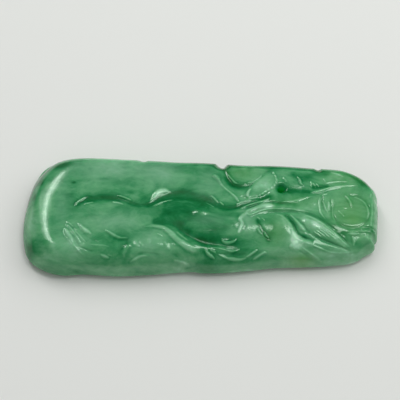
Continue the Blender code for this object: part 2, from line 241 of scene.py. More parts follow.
def in_oval(dx, dy, radius_x, radius_y, turn):
    """The offset dx, dy from an oval's middle along each of its axes, in its radii."""
    c = math.cos(math.radians(turn))
    s = math.sin(math.radians(turn))
    return (dx * c + dy * s) / radius_x, (dy * c - dx * s) / radius_y


class Carving:
    """Height added to or taken from the face at the points x, y.

    A stroke's points are (x, y, half width); a groove is `slope` times its half width deep, and a
    ridge as high. Of cuts that cross, the deeper one counts, and of raised lines the higher one;
    swells add up.
    """

    def __init__(self, x, y):
        self.x = x
        self.y = y
        self.cuts = np.zeros(x.shape)
        self.raised = np.zeros(x.shape)
        # how far the painted shade at the feet of ridges reaches
        self.shaded_feet = np.zeros(x.shape)
        self.swells = np.zeros(x.shape)

    def stroke(self, points, ends, power, lean=0.0):
        """The points a stroke reaches, and how strongly. `ends` are the parts of its length over
        which it fades in and out; `lean` widens its left side."""
        path = smooth_curve(points, STROKE_STEP)
        reach = STROKE_REACH * path[:, 2].max() * (1.0 + abs(lean))
        low = path[:, :2].min(axis=0) - reach
        high = path[:, :2].max(axis=0) + reach
        near = (self.x > low[0]) & (self.x < high[0]) & (self.y > low[1]) & (self.y < high[1])
        distance, place, width = measure_from(path, self.x[near], self.y[near])
        side = width * np.where(distance > 0, 1.0 + lean, 1.0 - lean)
        strength = np.exp(-np.abs(distance / side) ** power)
        first, last = ends
        if first:
            strength *= smooth_step(place / first)
        if last:
            strength *= smooth_step((1.0 - place) / last)
        return near, width, strength

    def groove(self, points, slope, ends=(0.15, 0.15), power=2.0, lean=0.0):
        near, width, strength = self.stroke(points, ends, power, lean)
        self.cuts[near] += (slope * width * strength) ** MERGE_POWER

    def ridge(self, points, slope, ends=(0.2, 0.2), power=2.0, lean=0.0):
        near, width, strength = self.stroke(points, ends, power, lean)
        self.raised[near] += (slope * width * strength) ** MERGE_POWER
        # the painted shade at the ridge's foot, which only the colour uses
        shaded_foot = slope * width * strength ** FOOT_SHADE_SPREAD * (strength > 0.0)
        self.shaded_feet[near] = np.maximum(self.shaded_feet[near], shaded_foot)

    def swell(self, points, height, ends=(0.0, 0.0), lean=0.0):
        near, _, strength = self.stroke(points, ends, 2.0, lean)
        self.swells[near] += height * strength

    def disc(self, x, y, radius_x, radius_y, height, edge=1.0, turn=0.0):
        """An oval that rises over `edge` of its radius; sunk where `height` is negative."""
        away = np.hypot(*in_oval(self.x - x, self.y - y, radius_x, radius_y, turn))
        self.swells += height * smooth_step((1.0 - away) / edge)

    def depth_cut(self):
        return self.cuts ** (1 / MERGE_POWER)

    def height_raised(self):
        return self.raised ** (1 / MERGE_POWER)

    def relief(self):
        return self.swells + self.height_raised() - self.depth_cut()


def arc(x, y, radius, first, last, half_width, count=12):
    """Stroke points round part of a circle; angles in degrees from +X."""
    angles = np.radians(np.linspace(first, last, count))
    return [(x + radius * math.cos(a), y + radius * math.sin(a), half_width) for a in angles]


def between_pods(face):
    """The wavy groove that parts the far pod from the middle pod, and its lit edges."""
    face.groove([(-22.2, 0.2, 0.3), (-20.8, 1.05, 0.5), (-19.6, 1.45, 0.75), (-17, 1.55, 0.8),
        (-15, 1.4, 0.65), (-13, 0.75, 0.5), (-11, 0.15, 0.4), (-9.2, 0.35, 0.4), (-7.7, 1.1, 0.55),
        (-6.3, 1.8, 0.85), (-4.5, 2.2, 1.05), (-2.5, 2.2, 1.15), (-0.5, 1.75, 1), (1.2, 1.1, 0.75),
        (2.7, 0.2, 0.6), (4.2, -0.35, 0.55), (5.5, -0.45, 0.5), (6.8, -0.25, 0.4), (8.2, 0.35, 0.3),
        (9.7, 0.85, 0.28), (11.2, 1.25, 0.28), (12.8, 2, 0.25)], 0.21, ends=(0.03, 0.06), lean=0.3)
    # edge of the middle pod
    face.ridge([(-20.9, 0.35, 0.09), (-19.8, 0.75, 0.12), (-18.9, 0.9, 0.09)], 0.6)
    face.ridge([(-15.9, 1, 0.1), (-14.8, 0.75, 0.15), (-13.5, 0.35, 0.1)], 0.7)
    face.ridge([(-8.8, -0.1, 0.09), (-7.6, 0.5, 0.13), (-6.6, 1, 0.14), (-5.4, 1.3, 0.12),
        (-4.4, 1.38, 0.09)], 0.6)
    face.ridge([(0.9, 0.9, 0.08), (1.8, 0.35, 0.11), (2.7, -0.3, 0.09)], 0.5)
    # edge of the far pod
    face.ridge([(-22.5, 0, 0.1), (-22.1, 0.6, 0.16), (-21.4, 1.4, 0.15), (-20.3, 2.2, 0.1)], 0.55)
    face.ridge([(-15, 2.35, 0.1), (-14.2, 2.1, 0.15), (-13.2, 1.7, 0.14), (-12.1, 1.15, 0.1)], 0.65)
    face.ridge([(-9.2, 0.8, 0.12), (-8.6, 1.45, 0.2), (-8.1, 2.3, 0.35), (-7.4, 2.95, 0.45),
        (-6.5, 3.25, 0.42), (-5.7, 3.2, 0.3), (-5.1, 2.95, 0.12)], 0.35, ends=(0.15, 0.25))
    face.ridge([(1.8, 2.4, 0.13), (2.5, 1.7, 0.18), (3.1, 0.95, 0.16), (3.4, 0.6, 0.1)], 0.65)
    face.ridge([(3.5, 1.05, 0.1), (3.9, 0.6, 0.14), (4.3, 0.2, 0.1)], 0.6)


def middle_pod(face):
    """The middle pod, its hollow, its frilled end and the valley below it."""
    face.swell([(-23, -1.2, 1.4), (-18, -2, 2), (-13, -2.6, 2.2), (-9, -1.8, 1.6)], 0.12, ends=(0.4, 0.4))
    face.swell([(-12, -1.4, 1.4), (-7.5, -2.2, 1.8), (-4, -2, 1.8), (-1.5, -2.5, 1.4)], -0.1,
        ends=(0.45, 0.5))
    face.swell([(-2, -1.4, 1), (1.5, -2, 1.5), (5, -2.8, 1.8), (7.6, -2.9, 1.4)], 0.1, ends=(0.35, 0.15))
    face.disc(0.1, -1.15, 2, 1, 0.2)
    # valley, steep on the vine's side
    face.groove([(-8, -3.3, 0.4), (-6, -3.3, 0.6), (-4.4, -3.9, 0.8), (-3.1, -5, 0.85), (-2, -5.8, 0.9),
        (-0.8, -6.4, 0.9), (0.8, -7, 0.9), (2.6, -7.2, 0.9), (4.6, -7.3, 0.8), (7, -7.5, 0.7),
        (9.4, -7.6, 0.6)], 0.27, ends=(0.3, 0.5), lean=0.2)
    # scoop
    face.disc(5.1, -6.2, 1.1, 0.7, -0.12)
    face.ridge([(3.7, -6.1, 0.12), (4.1, -6.75, 0.2), (4.7, -7, 0.26), (5.3, -6.95, 0.24),
        (6, -6.75, 0.18), (6.6, -6.2, 0.12)], 0.6)
    # frill
    face.ridge([(8, -1.4, 0.16), (7.5, -1.9, 0.24), (7.15, -2.5, 0.26), (7.25, -2.95, 0.24),
        (7.48, -3.35, 0.26), (7.42, -3.9, 0.26), (7.2, -4.5, 0.26), (6.95, -5, 0.24), (6.6, -5.3, 0.16)],
        0.5, ends=(0.08, 0.08))
    face.groove([(8.2, -2.2, 0.2), (7.85, -2.9, 0.2), (8.05, -3.7, 0.2), (7.9, -4.6, 0.2)], 0.12)
    # left end of the pod's near margin
    face.ridge([(-17, -4.6, 0.14), (-16.2, -5.15, 0.2), (-15.5, -5.7, 0.24), (-14.8, -6.1, 0.26),
        (-14, -6.35, 0.2), (-12.5, -6.3, 0.12)], 0.38)
    face.groove([(-17.4, -5.1, 0.2), (-16.2, -5.85, 0.28), (-15, -6.55, 0.28), (-13.5, -6.85, 0.24),
        (-12.2, -6.8, 0.15)], 0.25)


def bud(face):
    """The bud at the far side, the hollow round it and the end of the far pod."""
    face.groove([(4.2, 10.2, 0.35), (4.25, 8.7, 0.35), (4.4, 7.2, 0.4), (4.95, 5.7, 0.5),
        (5.8, 4.6, 0.65), (7.2, 4, 0.7), (8.6, 4.2, 0.6), (9.8, 4.9, 0.45), (11, 6.1, 0.4),
        (12, 7.2, 0.4), (13.2, 8, 0.35), (14.2, 8.5, 0.3)], 0.24, ends=(0, 0.1))
    face.ridge([(5, 7, 0.1), (5.3, 6.3, 0.14), (5.8, 5.6, 0.15), (6.3, 5, 0.16), (7, 4.75, 0.1)], 0.65)
    face.ridge([(8.2, 4.8, 0.12), (8.9, 4.95, 0.18), (9.6, 5.2, 0.12), (10.4, 5.8, 0.12), (11, 6.4, 0.14),
        (11.25, 7, 0.12)], 0.6)
    face.disc(7.15, 7.3, 0.32, 0.28, 0.1)
    face.disc(9.15, 7.2, 0.26, 0.38, 0.1)
    face.disc(9, 7.9, 0.5, 0.4, -0.08)
    # end of the far pod
    face.ridge([(2.4, 6.8, 0.15), (2.8, 6.3, 0.28), (3.3, 5.75, 0.26), (3.6, 5.1, 0.16), (4.4, 3.9, 0.16),
        (5.4, 2.9, 0.16), (6.4, 1.9, 0.2), (6.8, 1.2, 0.18), (7, 0.9, 0.12)], 0.6, ends=(0.05, 0.05))
    face.disc(7.7, 1.9, 0.8, 0.5, -0.1)
    face.ridge([(6.4, 0.1, 0.1), (7.1, 0.7, 0.15), (8, 1.1, 0.13), (9.4, 1.5, 0.1)], 0.6)


def serrated_leaf(face):
    """The saw-edged leaf and the sunk ground between it, the hole and the far side."""
    face.swell([(13.2, 4.2, 0.8), (15, 3.6, 1.3), (17.5, 3.5, 1.1), (20.5, 3.7, 0.7)], -0.2,
        ends=(0.1, 0.3))
    face.swell([(10.2, 1.6, 0.4), (11.8, 2, 0.5), (13, 2.9, 0.5)], -0.08, ends=(0.2, 0.2))
    midrib = [(8.7, 2.2, 0.5), (9.9, 3.2, 1.3), (11.5, 4.6, 1.6), (12.9, 6.2, 1), (13.3, 7.1, 0.3)]
    distance, _, width = measure_from(smooth_curve(midrib, 0.25), face.x, face.y)
    raised_by = 0.14
    edge = 0.28
    face.swells += raised_by * smooth_step((width - np.abs(distance)) / edge + 0.5)
    # bright rim at its base
    face.ridge([(9.4, 3.8, 0.12), (8.9, 3.35, 0.17), (8.6, 2.8, 0.2), (8.5, 2.2, 0.2), (8.55, 1.7, 0.12)],
        0.75)
    # teeth, each with the direction it points in
    half_length = 0.38
    for x, y, turn in ((13.3, 7, -60), (13.65, 6.4, -58), (13.85, 5.75, -62), (13.75, 5.1, -80),
                       (13.45, 4.5, -95), (12.95, 3.95, -100), (12.4, 3.5, -102), (11.85, 3.1, -105),
                       (11.3, 2.7, -112), (10.75, 2.3, -125)):
        run_x = half_length * math.cos(math.radians(turn))
        run_y = half_length * math.sin(math.radians(turn))
        face.ridge([(x - run_x, y - run_y, 0.1), (x, y, 0.17), (x + run_x, y + run_y, 0.1)], 0.55,
                   ends=(0.3, 0.3))


def far_strokes(face):
    """Short strokes between the hole and the narrow end, on the far side."""
    face.ridge([(15, 6.5, 0.08), (15.3, 5.9, 0.12), (15.7, 5.4, 0.08)], 0.7)
    face.ridge([(17.5, 6.5, 0.1), (17.9, 6, 0.15), (18.15, 5.5, 0.18), (18.2, 5, 0.16),
        (18.7, 4.65, 0.1)], 0.75, ends=(0.1, 0.1))
    face.disc(18.9, 5.9, 0.6, 0.5, -0.06, turn=-50)
    face.ridge([(20, 5.6, 0.09), (20.15, 5.1, 0.13), (20.05, 4.3, 0.09)], 0.7)
    face.ridge([(20.3, 5.2, 0.09), (20.6, 4.8, 0.14), (20.9, 4.3, 0.09)], 0.75)
    face.ridge([(21, 5.1, 0.08), (21.25, 4.7, 0.12), (21.5, 4.45, 0.08)], 0.7)
    face.ridge([(22.3, 6.2, 0.08), (22.5, 5.8, 0.12), (22.8, 5.4, 0.08)], 0.6)
    face.disc(21.9, 4.3, 0.9, 0.4, -0.06)
    face.groove([(21.6, 9.4, 0.3), (21.7, 8.2, 0.4), (21.9, 7, 0.4)], 0.3, ends=(0, 0.4))
    face.ridge([(23.4, 7.6, 0.12), (24.8, 7.15, 0.18), (26.3, 6.5, 0.12)], 0.35)
    face.ridge([(22.3, 5.05, 0.1), (23.6, 5.35, 0.13), (25.3, 5.6, 0.13), (27.2, 5.55, 0.1)], 0.45)
    face.ridge([(19.6, 3, 0.1), (21, 3.3, 0.17), (22, 3.6, 0.18), (23.4, 4.15, 0.15), (25, 4.55, 0.14),
        (27, 4.75, 0.13), (29.4, 4.8, 0.1)], 0.55, ends=(0.08, 0.2))
    face.groove([(20.5, 2.6, 0.15), (22, 3.1, 0.2), (23.6, 3.65, 0.2), (26, 4.2, 0.18)], 0.35)


def stems(face):
    """The forked stem, its calyx and the sweeping groove under it."""
    # long stem by the serrated leaf
    face.ridge([(7, -0.6, 0.1), (8.4, 0.15, 0.15), (9.8, 0.7, 0.16), (11.3, 1.2, 0.16),
        (12.8, 1.95, 0.12)], 0.65, ends=(0.1, 0.1))
    face.groove([(7.7, -0.8, 0.2), (9.2, 0.05, 0.26), (11, 0.65, 0.26), (13, 1, 0.22), (15, 0.75, 0.2),
        (16.8, 0.7, 0.15)], 0.45)
    # the stem and its two lit edges
    face.swell([(8.4, -1.3, 0.5), (10, -0.75, 0.55), (12.4, -0.15, 0.6), (15, -0.2, 0.55),
        (19, -0.9, 0.4)], 0.14, ends=(0.08, 0.3))
    face.ridge([(8.1, -1.3, 0.2), (8.7, -0.85, 0.28), (9.7, -0.4, 0.32), (10.9, 0.05, 0.45),
        (11.6, 0.25, 0.6), (12.4, 0.3, 0.5), (13.3, 0.2, 0.2)], 0.3, ends=(0.06, 0.1))
    face.ridge([(8.3, -1.35, 0.15), (8.9, -1.75, 0.17), (9.8, -1.4, 0.16), (11, -0.85, 0.16),
        (12.3, -0.5, 0.15), (13.6, -0.4, 0.12), (15, -0.5, 0.1)], 0.75, ends=(0.06, 0.2))
    face.groove([(9.1, -1.2, 0.12), (10.5, -0.7, 0.17), (11.8, -0.35, 0.12)], 0.4)
    # calyx folds towards the scroll
    face.ridge([(13.8, 0.9, 0.1), (15.8, 1.2, 0.16), (17.3, 1.4, 0.22), (19, 2, 0.18), (20.6, 2.5, 0.12)],
        0.35)
    face.disc(17.3, 1.35, 0.5, 0.35, 0.07)
    face.disc(20.6, 0.7, 0.32, 0.27, 0.12)
    # sweeping groove under the stem
    face.groove([(10.5, -2, 0.2), (12.5, -1.2, 0.25), (15, -0.95, 0.3), (17, -0.95, 0.3),
        (18.8, -1.2, 0.24), (20.4, -1.75, 0.24), (21.8, -2.65, 0.24), (23.3, -3.9, 0.22),
        (24.8, -5.3, 0.2), (26.2, -6.8, 0.18), (27.1, -7.8, 0.15)], 0.55, ends=(0.15, 0.08))


def petal(face):
    """The broad petal leaf, the knot it grows from and the small leaf beside it."""
    face.swell([(13.9, -2.2, 0.6), (15, -3.4, 1.1), (15.6, -5, 1.3), (16.5, -6.6, 1.2),
        (17.1, -7.6, 0.9)], 0.18, ends=(0.25, 0.1), lean=-0.4)
    face.groove([(9.8, -2.2, 0.2), (10.5, -3.5, 0.32), (11.2, -4.7, 0.36), (11.9, -5.8, 0.34),
        (13, -6.6, 0.2)], 0.12)
    face.ridge([(10.2, -4.3, 0.1), (10.55, -4.9, 0.18), (11, -5.6, 0.12)], 0.75)
    face.ridge([(11.2, -4.8, 0.1), (11.65, -5.6, 0.15), (12.3, -6.2, 0.1)], 0.85)
    face.ridge([(10.1, -2.15, 0.1), (10.5, -2.35, 0.13), (10.6, -2.7, 0.08)], 0.6)
    face.ridge([(10.9, -2.3, 0.08), (11.2, -2.45, 0.12), (11.5, -2.8, 0.08)], 0.5)
    face.disc(13.9, -6.7, 0.35, 0.18, 0.06)
    # its lit edge, which runs on into the long leaf
    face.ridge([(13, -1.8, 0.1), (13.9, -1.6, 0.15), (14.7, -1.95, 0.18), (15.4, -2.7, 0.2),
        (16, -3.6, 0.3), (16.35, -4.5, 0.34), (16.75, -5.4, 0.45), (17.3, -6.15, 0.55),
        (18.2, -6.7, 0.55), (19.2, -7, 0.45), (20.4, -7.35, 0.22)], 0.32, ends=(0.1, 0.06))
    face.ridge([(17.4, -6.3, 0.3), (17.1, -7, 0.5), (16.7, -7.6, 0.5), (16.3, -8, 0.3)], 0.35)
    face.ridge([(15.6, -7.5, 0.2), (16.6, -7.55, 0.4), (17.9, -7.95, 0.2)], 0.35)
    face.groove([(15.2, -1.4, 0.12), (16, -2.4, 0.18), (16.7, -3.6, 0.22), (17.1, -4.7, 0.24),
        (17.7, -5.5, 0.24), (18.8, -6.05, 0.22), (20.5, -6.4, 0.16)], 0.65)
    # small leaf
    face.ridge([(16, -1.4, 0.1), (16.8, -2.35, 0.16), (17.5, -3.3, 0.22), (18.1, -4.1, 0.28),
        (18.7, -4.8, 0.15)], 0.75, ends=(0.1, 0.08))
    face.groove([(17, -1.9, 0.12), (18.1, -3.2, 0.2), (19, -4.6, 0.22), (19.8, -5.3, 0.15)], 0.5)


def near_leaves(face):
    """The veined leaf and the long leaf along the near side."""
    face.swell([(18.2, -2.3, 0.6), (20.2, -3.3, 1), (22.5, -5, 0.95), (25.2, -6.9, 0.5)], 0.2,
        ends=(0.1, 0.15))
    face.ridge([(17.8, -1.6, 0.1), (19, -1.75, 0.15), (20, -2.2, 0.18), (21.2, -2.95, 0.2),
        (22.5, -3.9, 0.17), (23.8, -5, 0.15), (25.2, -6.35, 0.13), (26.7, -7.7, 0.1)], 0.55)
    # veins, each further along and longer than the last
    for i in range(7):
        start_x = 20.1 + 0.42 * i
        start_y = -4.75 + 0.2 * i
        run = 2.0 + 0.42 * i
        face.ridge([(start_x, start_y, 0.09), (start_x + 0.42 * run, start_y - 0.29 * run, 0.12),
                    (start_x + 0.83 * run, start_y - 0.62 * run, 0.09)], 0.6, ends=(0.12, 0.25))
    face.groove([(19.4, -5.1, 0.12), (21.2, -6, 0.2), (23, -6.7, 0.24), (25, -7.45, 0.22),
        (27, -8.1, 0.14)], 0.7)
    # long leaf
    face.swell([(18.8, -6.6, 0.4), (21, -7.1, 0.5), (23.5, -7.7, 0.45), (26, -8.1, 0.3)], 0.08)
    face.ridge([(19.8, -7.2, 0.14), (21.5, -7.8, 0.14), (23, -8.2, 0.13), (24.6, -8.3, 0.12),
        (26.4, -8.2, 0.1), (27.8, -7.9, 0.08)], 0.7, ends=(0.05, 0.2))
    # leaf under it
    face.ridge([(17.9, -7.5, 0.1), (19.2, -8.3, 0.15), (20.6, -9, 0.17), (21.9, -9.55, 0.12)], 0.6)
    face.groove([(17.2, -8, 0.15), (18.8, -8.8, 0.22), (20.5, -9.5, 0.15)], 0.35)


def scroll(face):
    """The curled scroll at the narrow end, the folds beside it and the block below it."""
    face.groove(arc(27.1, -0.7, 3.35, 100, -215, 0.28), 0.35, ends=(0.05, 0.05))
    face.ridge(arc(27.1, -0.7, 3.05, 82, -40, 0.16), 0.5, ends=(0.1, 0.3))
    face.ridge([(26, 2.7, 0.1), (26.45, 2.1, 0.17), (26.9, 1.4, 0.19), (27.15, 0.7, 0.18),
        (27.1, 0.15, 0.1)], 0.7, ends=(0.1, 0.1))
    face.ridge([(26.6, 0.3, 0.09), (26, 0, 0.12), (25.4, 0.2, 0.08)], 0.4)
    face.ridge([(24.7, -0.3, 0.1), (25.2, -1.1, 0.16), (25.9, -1.7, 0.1)], 0.5)
    # folds to its left
    face.ridge([(23.1, 1.5, 0.1), (23.2, 0.6, 0.18), (23.1, -0.2, 0.18), (22.95, -0.8, 0.1)], 0.75)
    face.ridge([(22.1, 1.6, 0.09), (22.35, 0.5, 0.13), (22.6, -0.4, 0.15), (23, -1.2, 0.09)], 0.7)
    face.ridge([(21.7, 2.6, 0.09), (21.5, 1.4, 0.13), (21.5, 0, 0.13), (21.8, -1.4, 0.12),
        (22.6, -2.6, 0.08)], 0.6)
    face.ridge([(24.1, 2.3, 0.09), (23.9, 1, 0.13), (23.75, -0.4, 0.13), (23.8, -1.8, 0.12),
        (24.3, -3.2, 0.08)], 0.5)
    face.groove([(22.2, 2.6, 0.15), (21.95, 1.4, 0.2), (22, 0.3, 0.18), (22.3, -0.8, 0.12)], 0.5)
    face.groove([(23.55, 2.4, 0.12), (23.5, 0.8, 0.16), (23.45, -0.8, 0.16), (23.5, -2.6, 0.12)], 0.45)
    face.ridge([(21.3, 3, 0.1), (22.2, 2.85, 0.14), (23.2, 3, 0.1)], 0.5)
    # block below
    face.groove([(28.6, -4, 0.15), (30, -3.9, 0.24), (31.6, -4, 0.24)], 0.5, ends=(0.2, 0))
    face.ridge([(25.8, -4.75, 0.09), (27.5, -4.65, 0.13), (29.8, -4.6, 0.13), (31.2, -4.7, 0.08)], 0.5)
    face.ridge([(26.4, -5.05, 0.15), (27.1, -5.15, 0.26), (28.2, -5.05, 0.15)], 0.6)
    face.ridge([(27, -5.4, 0.12), (27.3, -6.1, 0.22), (27.35, -6.7, 0.2), (27.2, -7.4, 0.1)], 0.6)
    face.groove([(27.6, -5.55, 0.08), (28.4, -5.5, 0.1)], 0.6)
    face.swell([(24.9, -4.9, 0.4), (25.7, -5.9, 0.5), (26.5, -7.1, 0.4)], -0.12, ends=(0.2, 0.2))


def vine(face):
    """The vine along the near side and where it forks."""
    face.ridge([(-10.4, -4.1, 0.2), (-8.5, -3.95, 0.3), (-6.6, -4.35, 0.4), (-5.5, -5.1, 0.45),
        (-4.7, -6, 0.5), (-3.6, -7, 0.55), (-2.2, -7.9, 0.55), (-0.8, -8.45, 0.5), (0.9, -8.7, 0.35)],
        0.22, power=3.0)
    face.ridge([(-10.2, -4.15, 0.09), (-9, -4.05, 0.11), (-7.6, -4, 0.09)], 0.5)
    face.ridge([(-5.5, -4.9, 0.1), (-4.9, -5.6, 0.15), (-4.3, -6.4, 0.18), (-3.6, -7.1, 0.15),
        (-2.4, -7.8, 0.1)], 0.5, ends=(0.1, 0.2))
    face.ridge([(-4.3, -4.9, 0.1), (-3.6, -5.6, 0.14), (-2.9, -6.2, 0.14), (-2, -6.8, 0.1)], 0.35)
    face.groove([(-4.6, -5.2, 0.1), (-3.9, -6, 0.14), (-3, -6.8, 0.12)], 0.5)
    face.disc(-6.3, -4.7, 0.27, 0.2, 0.09)
    face.ridge([(-7.7, -5.5, 0.08), (-7.2, -5.75, 0.13), (-6.6, -5.95, 0.08)], 0.65)
    # facets where it forks
    face.ridge([(0.8, -8.3, 0.1), (1.15, -8.75, 0.2), (1.5, -9.1, 0.22), (2.1, -9.45, 0.2),
        (2.7, -9.8, 0.1)], 0.75, ends=(0.1, 0.1))
    face.ridge([(1.7, -8.35, 0.09), (2.3, -8.6, 0.14), (2.9, -9, 0.09)], 0.7)
    face.disc(1.85, -8.9, 0.4, 0.22, -0.1, turn=-30)
    # loops
    face.ridge([(1.6, -7.75, 0.09), (3.2, -8, 0.12), (4.6, -8.3, 0.14), (5.6, -8.5, 0.2),
        (6.4, -8.35, 0.15), (7.4, -8.2, 0.09)], 0.5)
    face.ridge([(3, -8.95, 0.09), (3.9, -9.35, 0.13), (4.9, -9.6, 0.15), (5.9, -9.68, 0.2),
        (7.2, -9.68, 0.14), (8.4, -9.4, 0.09)], 0.7, ends=(0.1, 0.1))
    face.groove([(3.3, -8.75, 0.14), (5, -9.05, 0.24), (7, -9, 0.28), (8.4, -8.7, 0.2)], 0.4)
    face.ridge([(7.9, -9.45, 0.09), (8.8, -9, 0.14), (9.6, -8.5, 0.16), (10.4, -8.05, 0.1)], 0.7)
    face.ridge([(9.1, -9.75, 0.1), (10, -9.3, 0.15), (10.9, -8.8, 0.16), (11.5, -8.55, 0.17),
        (12.1, -8.75, 0.1)], 0.7)
    face.groove([(8.6, -9.5, 0.1), (9.7, -8.9, 0.14), (10.8, -8.35, 0.1)], 0.5)


def arched_leaf(face):
    """The arched leaf near the middle of the near side, with the strokes round it."""
    face.ridge([(-13.4, -10.3, 0.2), (-13.45, -9.5, 0.3), (-13.2, -8.8, 0.35), (-12.7, -8, 0.32),
        (-12, -7.3, 0.2)], 0.18)
    face.groove([(-14.1, -9.8, 0.15), (-14, -8.8, 0.24), (-13.2, -7.7, 0.15)], 0.2)
    face.ridge([(-11.7, -6.8, 0.18), (-11.4, -7.3, 0.34), (-11.1, -7.8, 0.32), (-10.9, -8.3, 0.18)], 0.2)
    face.ridge([(-10.7, -6.9, 0.14), (-10.45, -7.4, 0.24), (-10.1, -8, 0.14)], 0.19)
    face.swell([(-9.4, -6.2, 1.2), (-7.8, -7.2, 1.5), (-7.4, -8.4, 1.2)], 0.1, ends=(0.4, 0.4))
    face.ridge([(-6.5, -6.8, 0.15), (-6.1, -7.4, 0.24), (-5.75, -8.1, 0.26), (-5.2, -8.65, 0.16)], 0.19)
    face.disc(-4.2, -9.4, 0.7, 0.3, -0.1)
    face.ridge([(-12.7, -10.7, 0.1), (-11.8, -10.2, 0.16), (-11, -9.85, 0.2), (-10.1, -9.62, 0.16),
        (-8.8, -9.65, 0.09)], 0.5)
    face.groove([(-11.4, -9.5, 0.15), (-10.2, -9.2, 0.22), (-8.6, -9.2, 0.18), (-7, -9.5, 0.15)], 0.3)
    face.ridge([(-5, -9.95, 0.09), (-3.8, -10.05, 0.14), (-2.8, -10.2, 0.15), (-1.5, -10.5, 0.09)], 0.47)


def left_leaf(face):
    """The long-lined leaf near the wide end."""
    face.ridge([(-24, -4.2, 0.2), (-23.8, -4.9, 0.34), (-23.4, -5.6, 0.4), (-22.9, -6.3, 0.32),
        (-22.6, -7.1, 0.2), (-22, -8.2, 0.18), (-20.9, -9.2, 0.18), (-19.8, -9.9, 0.12)], 0.36,
        ends=(0.08, 0.3))
    face.groove([(-23.7, -4.4, 0.1), (-23, -5.4, 0.15), (-22.2, -6.6, 0.18), (-21.4, -7.9, 0.18),
        (-19.8, -8.7, 0.2), (-18.4, -8.9, 0.15)], 0.45)
    face.ridge([(-23.9, -3, 0.09), (-23.2, -3.5, 0.13), (-22.4, -4.3, 0.09)], 0.5)
    face.ridge([(-24.1, -3.5, 0.09), (-23.2, -4.25, 0.13), (-22.5, -5.1, 0.13), (-21.9, -6, 0.14),
        (-21.4, -6.9, 0.17), (-21.15, -7.5, 0.18)], 0.54, ends=(0.15, 0.05))
    face.groove([(-23.7, -3.35, 0.08), (-22.7, -4.3, 0.11), (-21.8, -5.3, 0.1)], 0.36)
    face.ridge([(-22.6, -4.6, 0.09), (-21.7, -5.5, 0.12), (-20.9, -6.5, 0.13), (-19.9, -7.6, 0.09)], 0.47)
    face.groove([(-22.2, -5.5, 0.08), (-21.4, -6.5, 0.12), (-20.6, -7.6, 0.1)], 0.5)
    face.ridge([(-22, -3, 0.14), (-21.4, -3.7, 0.2), (-20.8, -4.4, 0.28), (-20.2, -4.95, 0.34),
        (-19.7, -5.3, 0.26), (-19.2, -5.7, 0.14)], 0.36, ends=(0.3, 0.1))
    face.groove([(-21.5, -4.6, 0.12), (-20.6, -5.6, 0.16), (-19.3, -6.6, 0.16), (-18, -7.1, 0.12)], 0.3)
    face.ridge([(-19.9, -7.6, 0.1), (-18.2, -7.8, 0.14), (-16.9, -7.9, 0.12), (-15.6, -8.3, 0.09)], 0.35)
    face.ridge([(-17.8, -9.35, 0.1), (-17.1, -9.6, 0.2), (-16.5, -9.8, 0.2), (-15.9, -10, 0.1)], 0.5)
    face.ridge([(-16.5, -9.45, 0.08), (-16, -9.55, 0.12), (-15.4, -9.75, 0.08)], 0.43)


def carved(x, y):
    face = Carving(x, y)
    for carve in (between_pods, middle_pod, bud, serrated_leaf, far_strokes, stems, petal, near_leaves,
                  scroll, vine, arched_leaf, left_leaf):
        carve(face)
    return face


def slab_height(x, y, inset):
    """Height of the uncarved face at x, y, where `inset` is the distance in from the rim."""
    near = blend(NEAR_ROUNDING, NARROW_ROUNDING, rise(x, -8.0, 12.0))
    rounding = blend(FAR_ROUNDING, near, rise(-y, -5.0, 5.0))
    rounding = blend(rounding, END_ROUNDING, rise(x, END_FROM, END_TO))
    thinning = np.clip((x - THINNING_FROM) / (THINNING_TO - THINNING_FROM), 0.0, 1.0)
    top = THICKNESS - (THICKNESS - THIN_END) * thinning - CROWN * (y / HALF_WIDTH) ** 2
    top = top - NEAR_FALL * rise(-y, 3.0, 10.0) * rise(x, -8.0, 8.0)
    out = np.clip(1.0 - inset / rounding, 0.0, 1.0)
    line = smooth_curve([(*point, 1.0) for point in PILLOW_LINE], 0.5)
    pillow_out = np.clip(1.0 - np.abs(measure_from(line, x, y)[0]) / PILLOW_REACH, 0.0, 1.0)
    share = np.sqrt(1.0 - out ** 2) * np.sqrt(1.0 - pillow_out ** 2)
    return WIDEST_Z + (top - WIDEST_Z) * share


def vertex_normals(points, triangles):
    a, b, c = (points[triangles[:, i]] for i in range(3))
    across = np.cross(b - a, c - a)
    total = np.zeros(points.shape)
    for i in range(3):
        np.add.at(total, triangles[:, i], across)
    return total / np.linalg.norm(total, axis=1)[:, None]


def from_hole(points):
    """Distance of each point from the edge of the hole, less than 0 inside it."""
    return np.hypot(points[:, 0] - HOLE_X, points[:, 1] - HOLE_Y) - HOLE_RADIUS


def inset_from(outline, points):
    """How far inside the outline each point is."""
    return -measure_from(outline, points[:, 0], points[:, 1])[0]


def circle(radius, count):
    angles = 2 * math.pi * np.arange(count) / count
    return np.column_stack([HOLE_X + radius * np.cos(angles), HOLE_Y + radius * np.sin(angles)])


def staggered_grid(low, high, step):
    """Points in rows, each row half a step along from the last, and which of them make up the same
    kind of grid twice as coarse."""
    row, column = np.mgrid[0:(high[1] - low[1]) / step * 2 / math.sqrt(3), 0:(high[0] - low[0]) / step]
    row = row.ravel()
    column = column.ravel()
    x = low[0] + step * (column + 0.5 * (row % 2))
    y = low[1] + step * row * math.sqrt(3) / 2
    coarse = (row % 2 == 0) & ((row / 2 + column) % 2 == 0)
    return np.column_stack([x, y]), coarse


